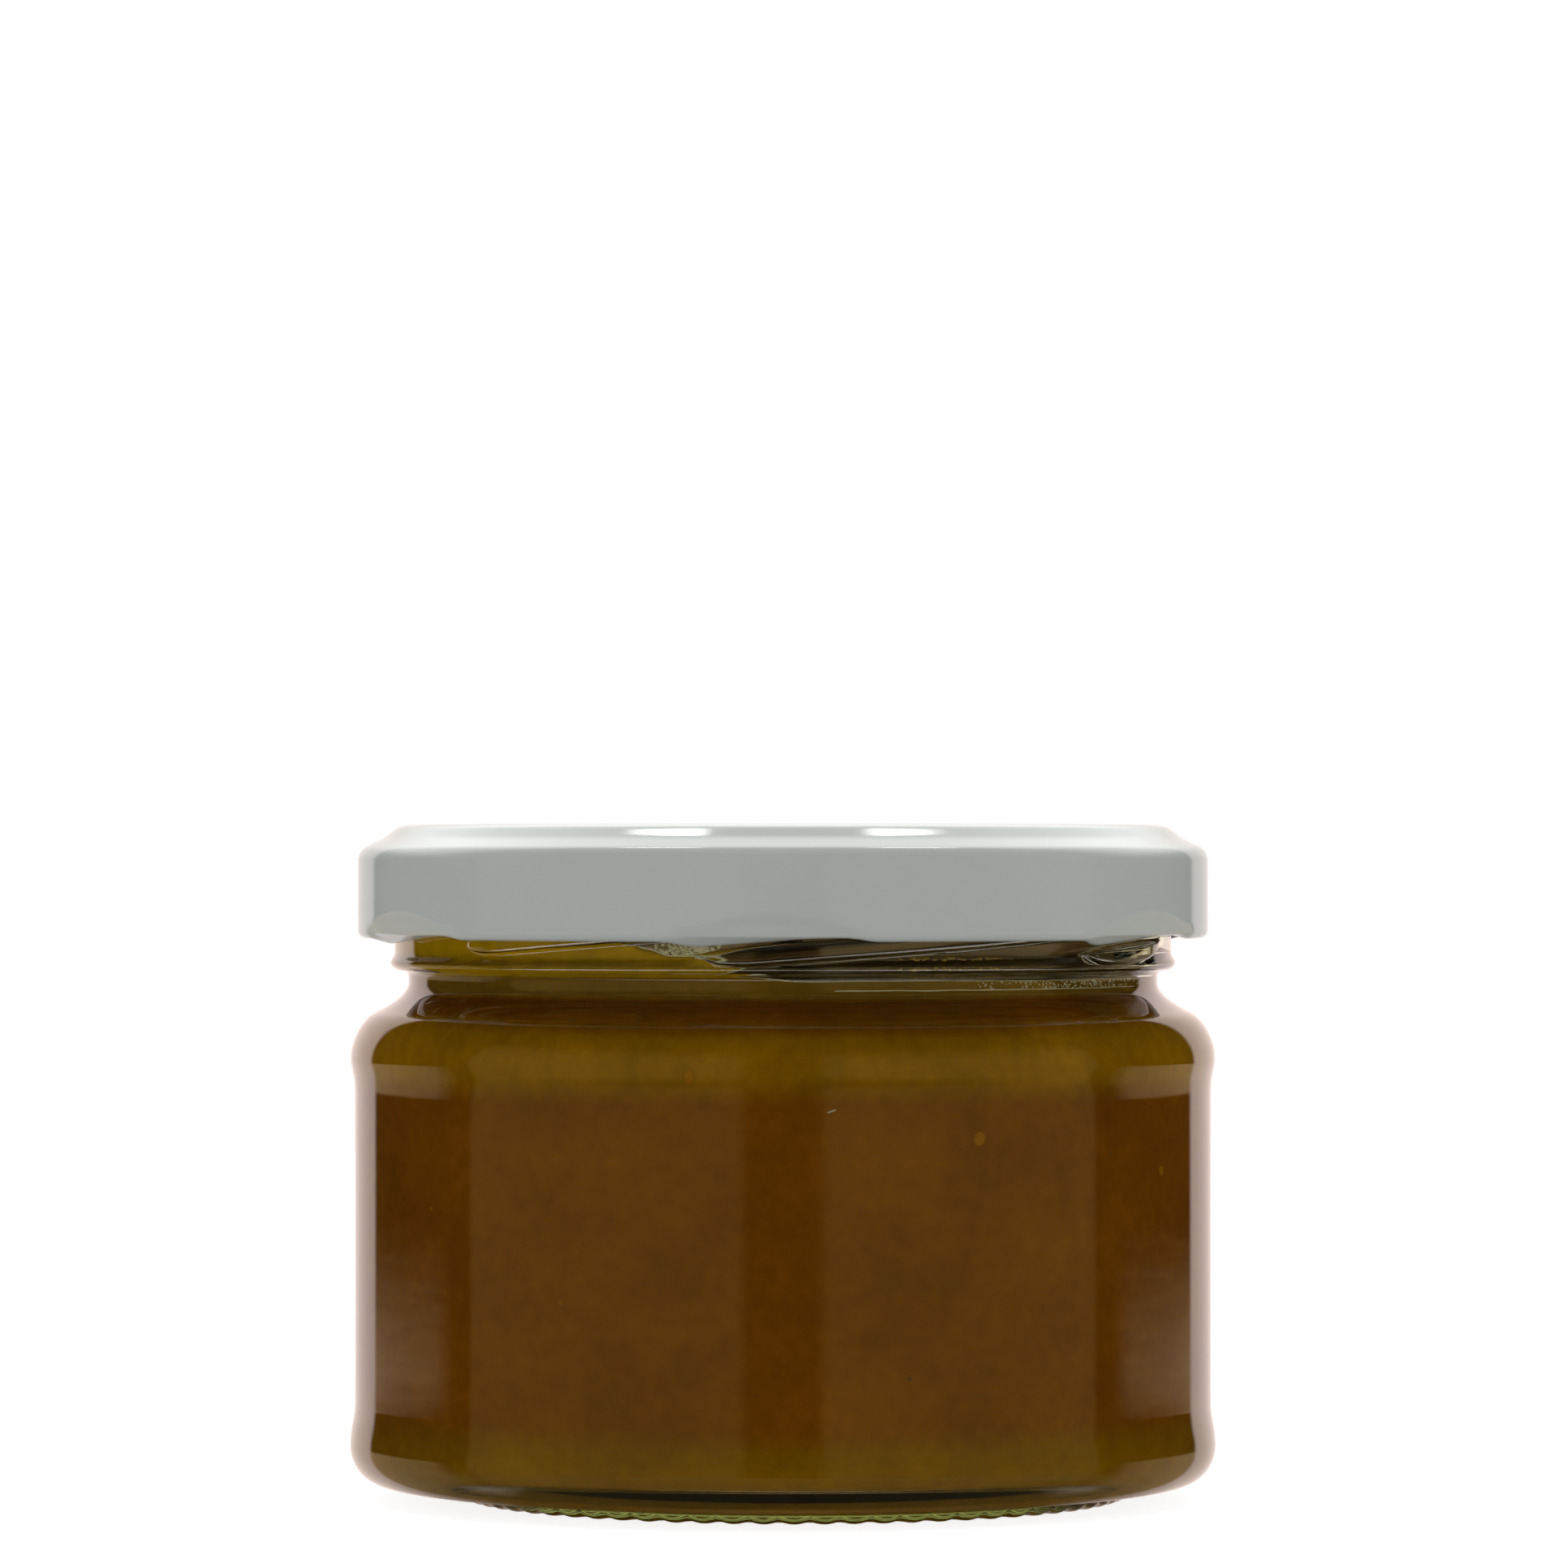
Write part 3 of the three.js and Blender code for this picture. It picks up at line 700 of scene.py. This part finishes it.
def pressLugs(bm):                 # flattens the rolled edge inwards at each lug and dents the skirt above
    lugTop = lid["curlZ"] - lid["curl"] + lid["lugThickness"]
    lugZ = lugTop - lid["lugThickness"] / 2
    outer = lid["radius"] - lid["dent"]
    stretch = (outer - lid["lugRadius"]) / (2 * lid["curl"])
    flatten = lid["lugThickness"] / (2 * lid["curl"])
    for vert in bm.verts:
        radius, degrees, height = radiusOf(vert), degreesOf(vert), vert.co.z
        if radius < lid["pressFrom"] or height > lid["curlZ"] + lid["pressHeight"]:
            continue
        offset = nearest(degrees, lid["lugAngle"], lid["lugs"])
        press = smooth((lid["lugHalf"] + lid["lugRamp"] - abs(offset)) / lid["lugRamp"])
        lens = max(0, 1 - (offset / lid["dentHalf"]) ** 2)
        dentTop = lid["curlZ"] + 0.4 + lid["dentHeight"] * lens
        dented = radius - lid["dent"] * lens ** 0.5 * smooth((dentTop - height) / 1.5)
        if height <= lid["curlZ"] + lid["curl"] * 0.99 or radius < lid["radius"] - 0.6:
            share = (lid["radius"] - radius) / (2 * lid["curl"])
            lugRadius = outer - (lid["radius"] - radius) * stretch
            lugHeight = lugZ + (height - lid["curlZ"]) * flatten
            lugHeight += between(lid["lugRaise"], thread["lead"] * offset / 360, smooth(share * 1.6))
            place(vert, between(dented, lugRadius, press), degrees, between(height, lugHeight, press))
        else:
            place(vert, dented, degrees, height)


def makeLid():
    topFace = lidTopFace()
    under = undersideOf(topFace)
    bm = turn(topFace + curlOutline() + under[::-1], lid["segments"])
    bmesh.ops.recalc_face_normals(bm, faces=bm.faces)
    for face in bm.faces:
        centre = face.calc_center_median()
        out = Vector((centre.x, centre.y, 0)).normalized() if centre.xy.length > 1 else Vector((0, 0, 0))
        inner = face.normal.z < -0.2 or (face.normal.dot(out) < -0.3 and centre.z < lid["top"] - 1.6)
        face.material_index = 1 if inner and centre.z > lid["curlZ"] + lid["curl"] else 0
    pressLugs(bm)
    piece = makePiece(bm, "lidShell", [enamel("whiteEnamel", "#bbc0bc", "#b5bab6", 0.08, 0.28),
                                       enamel("goldLacquer", "#a48a52", "#9a8049", 0.3, 0.5)])
    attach(piece, "lid")
    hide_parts("lid_shell")


# Seal

seal = {"segments": 192, "sheetGap": 0.03, "bottom": jar["rim"] + 0.06, "dip": 0.35}


def makeSeal():
    top = lid["top"] - lid["sheet"] - seal["sheetGap"]
    low = seal["bottom"]
    outline = [(35.4, top)]
    line(outline, (37.0, top), 3)
    line(outline, (38.3, top - 0.35), 3)
    line(outline, (39.5, top - 1.2), 3)
    bend(outline, (40.4, top - 1.75), (40.1, low - seal["dip"]), 6)
    bend(outline, (39.5, low - seal["dip"] - 0.2), (39.2, low), 5)
    line(outline, (35.9, low), 6)
    bend(outline, (35.5, low - seal["dip"]), (35.15, low + 0.1), 5)
    bend(outline, (35.0, top - 0.3), (35.4, top), 5)
    bm = turn(outline, seal["segments"])
    piece = makePiece(bm, "lidSeal", [sealCompound()])
    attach(piece, "seal")
    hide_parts("lid_gasket")


# Stage

# the photo's camera, with its focal length in pixels of an image of this width
view = {"distance": 780.0, "height": 65.0, "aside": 0.06, "pitch": 0.486, "roll": 0.0,
        "focalPixels": 9555.0, "imageWidth": 1931.0}
studio = {
    "fillLight": 0.60,             # the room, on matt surfaces
    "innerLight": 1.36,            # and on those behind glass
    "dark": (0.010, 0.009, 0.006, 1.0),                  # the dark of the room in reflections
    "boxLevel": 0.36, "boxAzimuth": 52.5, "boxDistance": 900.0, "boxWidth": 1590.0,
    "boxLow": -60.0, "boxHigh": 540.0,
    "backLevel": 4.5, "backSize": (1200.0, 800.0), "backAt": (0.0, 585.0, 815.0),
    "floorHalf": 340.0, "floorNear": -700.0, "floorFar": 900.0, "floorZ": -0.02, "floorGlow": 0.86,
    # painted reflection: a sheet only reflections see, standing for the shaded table close in front of the
    # jar's foot
    "shadeRadius": 52.0, "shadeFar": 10.0, "shadeZ": -0.01, "shadeFade": 0.55,
}
# what reflections show: colour, and for each edge the direction's part, where it starts and is full.
# Sharp is 1 on glass and 0 on enamel, through is 1 for light that came through glass.
mirrored = (
    ((0.42, 0.28, 0.09, 1.0), (("aside", 0.14, 0.23), ("aside", 1.62, 1.57), ("Z", -0.45, -0.3),
                               ("Z", 0.62, 0.3))),                       # two softboxes in front
    ((0.60, 0.44, 0.26, 1.0), (("Z", -0.047, -0.072), ("Y", 0.12, 0.32))),  # the table at the sides
    ((1.2, 1.0, 0.93, 1.0), (("Y", 0.76, 0.80), ("sharp", 0, 1))),       # the white backdrop, on glass
    ((1.0, 0.9, 0.86, 1.0), (("Y", 0.805, 0.845), ("sharp", 1, 0))),     # and on enamel
    ((0.45, 0.44, 0.34, 1.0), (("Z", -0.12, -0.30), ("Y", -0.1, 0.2), ("through", 0, 1))),  # under the foot
    ((4.5, 4.2, 3.8, 1.0), (("Z", -0.56, -0.68), ("Y", 0.45, 0.2), ("sharp", 0, 1),
                            ("through", 1, 0))),                         # the lit table in front
    ((2.2, 2.2, 2.2, 1.0), (("Z", 0.2, 0.55), ("Y", 0.12, 0.5), ("sharp", 1, 0))),    # lit wall behind
    ((14.0, 14.0, 14.0, 1.0), (("X", -0.29, -0.27), ("X", -0.13, -0.15), ("Y", 0.22, 0.25),
                               ("Y", 0.39, 0.36), ("Z", 0.5, 0.6), ("sharp", 1, 0))),  # two lamps overhead
    ((14.0, 14.0, 14.0, 1.0), (("X", 0.14, 0.17), ("X", 0.32, 0.29), ("Y", 0.22, 0.25),
                               ("Y", 0.39, 0.36), ("Z", 0.5, 0.6), ("sharp", 1, 0))),
)


def makeCamera():
    data = bpy.data.cameras.new("camera")
    data.sensor_fit = "HORIZONTAL"
    data.sensor_width = 36.0
    data.lens = view["focalPixels"] * data.sensor_width / view["imageWidth"]
    data.clip_start, data.clip_end = 0.05, 20
    camera = bpy.data.objects.new("camera", data)
    bpy.context.scene.collection.objects.link(camera)
    camera.location = Vector((view["aside"], -view["distance"], view["height"])) * metre
    tilt = Matrix.Rotation(math.radians(90 + view["pitch"]), 3, "X")
    camera.rotation_euler = (tilt @ Matrix.Rotation(math.radians(view["roll"]), 3, "Z")).to_euler()
    bpy.context.scene.camera = camera


def makeLamp(name, spot, aim, width, height, level):
    data = bpy.data.lights.new(name, "AREA")
    data.shape = "RECTANGLE"
    data.size, data.size_y = width * metre, height * metre
    data.energy = level * math.pi * data.size * data.size_y      # level is the brightness of its face
    lamp = bpy.data.objects.new(name, data)
    bpy.context.scene.collection.objects.link(lamp)
    lamp.location = Vector(spot) * metre
    lamp.rotation_euler = (Vector(aim) - Vector(spot)).to_track_quat("-Z", "Y").to_euler()
    lamp.visible_camera = False
    return lamp


def makeLamps():
    middle, tall = (studio["boxLow"] + studio["boxHigh"]) / 2, studio["boxHigh"] - studio["boxLow"]
    angle, distance = math.radians(studio["boxAzimuth"]), studio["boxDistance"]
    for side, name in ((-1, "softboxLeft"), (1, "softboxRight")):
        spot = (side * distance * math.sin(angle), -distance * math.cos(angle), middle)
        box = makeLamp(name, spot, (0, 0, middle), studio["boxWidth"], tall, studio["boxLevel"])
        box.visible_glossy = False         # the room gives its reflection, with soft edges
    width, height = studio["backSize"]
    back = makeLamp("backLight", studio["backAt"], (0, 0, 60), width, height, studio["backLevel"])
    back.visible_glossy = False


def makeRoom():
    world = bpy.data.worlds.new("room")
    bpy.context.scene.world = world
    world.use_nodes = True
    tree = world.node_tree
    rays = addNode(tree, "ShaderNodeLightPath", {})
    direction = addNode(tree, "ShaderNodeTexCoord", {}).outputs["Generated"]
    axes = addNode(tree, "ShaderNodeSeparateXYZ", {}, {"Vector": direction})
    front = addNode(tree, "ShaderNodeMath", {"operation": "MULTIPLY", 1: -1.0}, {0: axes.outputs["Y"]})
    around = addNode(tree, "ShaderNodeMath", {"operation": "ARCTAN2"},
                     {0: axes.outputs["X"], 1: front.outputs["Value"]})
    aside = addNode(tree, "ShaderNodeMath", {"operation": "ABSOLUTE"}, {0: around.outputs["Value"]})
    parts = {"aside": aside.outputs["Value"], "sharp": rays.outputs["Is Singular Ray"],
             "through": rays.outputs["Is Transmission Ray"], **{axis: axes.outputs[axis] for axis in "XYZ"}}
    room = addNode(tree, "ShaderNodeRGB", {}).outputs["Color"]
    room.default_value = studio["dark"]
    for colour, edges in mirrored:
        mask = None
        for part, start, full in edges:
            edge = addNode(tree, "ShaderNodeMapRange", {"interpolation_type": "SMOOTHSTEP",
                                                        "From Min": start, "From Max": full},
                           {"Value": parts[part]})
            share = edge.outputs["Result"]
            if mask:
                both = addNode(tree, "ShaderNodeMath", {"operation": "MULTIPLY"}, {0: mask, 1: share})
                share = both.outputs["Value"]
            mask = share
        layer = addNode(tree, "ShaderNodeMix", {"data_type": "RGBA", 7: colour}, {0: mask, 6: room})
        room = layer.outputs[2]
    outer, inner = studio["fillLight"], studio["innerLight"]
    lit = addNode(tree, "ShaderNodeMix", {"data_type": "RGBA", 6: (outer, outer, outer, 1),
                                          7: (inner, inner, inner, 1)},
                  {0: rays.outputs["Is Transmission Ray"]})
    straight = addNode(tree, "ShaderNodeMath", {"operation": "LESS_THAN", 1: 0.5},
                       {0: rays.outputs["Diffuse Depth"]})
    clean = addNode(tree, "ShaderNodeMath", {"operation": "MULTIPLY"},
                    {0: rays.outputs["Is Glossy Ray"], 1: straight.outputs["Value"]})
    shown = addNode(tree, "ShaderNodeMix", {"data_type": "RGBA"},
                    {0: clean.outputs["Value"], 6: lit.outputs[2], 7: room})
    seen = addNode(tree, "ShaderNodeMix", {"data_type": "RGBA", 7: (1, 1, 1, 1)},
                   {0: rays.outputs["Is Camera Ray"], 6: shown.outputs[2]})
    tree.links.new(seen.outputs[2], tree.nodes["Background"].inputs["Color"])


def makeFloor():
    bm = bmesh.new()
    bmesh.ops.create_grid(bm, x_segments=1, y_segments=1, size=1)
    near, far = studio["floorNear"], studio["floorFar"]
    bmesh.ops.scale(bm, vec=(studio["floorHalf"], (far - near) / 2, 1), verts=bm.verts)
    bmesh.ops.translate(bm, vec=(0, (far + near) / 2, studio["floorZ"]), verts=bm.verts)
    # pale matt table, close to white for the camera, which keeps the jar's soft shade
    material, tree, shader, spot = startMaterial("paleTable")
    shader.inputs["Base Color"].default_value = linear("#bcbcbc")
    shader.inputs["Roughness"].default_value = 0.9
    shader.inputs["Specular IOR Level"].default_value = 0.0
    rays = addNode(tree, "ShaderNodeLightPath", {})
    glow = addNode(tree, "ShaderNodeMath", {"operation": "MULTIPLY", 1: studio["floorGlow"]},
                   {0: rays.outputs["Is Camera Ray"]})
    shader.inputs["Emission Color"].default_value = (1, 1, 1, 1)
    tree.links.new(glow.outputs["Value"], shader.inputs["Emission Strength"])
    floor = makePiece(bm, "table", [material])
    floor.visible_glossy = False       # the room stands in for it in reflections and through glass
    floor.visible_transmission = False
    bm = bmesh.new()
    radius = studio["shadeRadius"]
    bmesh.ops.create_circle(bm, cap_ends=True, segments=96, radius=radius)
    centre = (0, studio["shadeFar"] - radius, studio["shadeZ"])
    bmesh.ops.translate(bm, vec=centre, verts=bm.verts)
    # painted reflection of the table in the jar's shade close to the foot: a cream sheet, faded at its
    # edge, that gives the glass's lower reflections a dim warm tone
    material, tree, shader, spot = startMaterial("tableShadeInReflections")
    shader.inputs["Base Color"].default_value = linear("#b8a878")
    away = addNode(tree, "ShaderNodeVectorMath", {"operation": "DISTANCE", 1: Vector(centre) * metre},
                   {0: spot})
    fade = addNode(tree, "ShaderNodeMapRange", {"From Min": radius * metre,
                                                "From Max": radius * studio["shadeFade"] * metre},
                   {"Value": away.outputs["Value"]})
    tree.links.new(fade.outputs["Result"], shader.inputs["Alpha"])
    shade = makePiece(bm, "shade", [material])
    for kind in ("camera", "diffuse", "transmission", "volume_scatter", "shadow"):
        setattr(shade, "visible_" + kind, False)


makeCamera()
makeLamps()
makeRoom()
makeFloor()
print("stage: camera, lamps, room and table")
makeJar()
makeChutney()
makeBits()
makeLid()
makeSeal()

bpy.context.scene.view_settings.view_transform = "Standard"
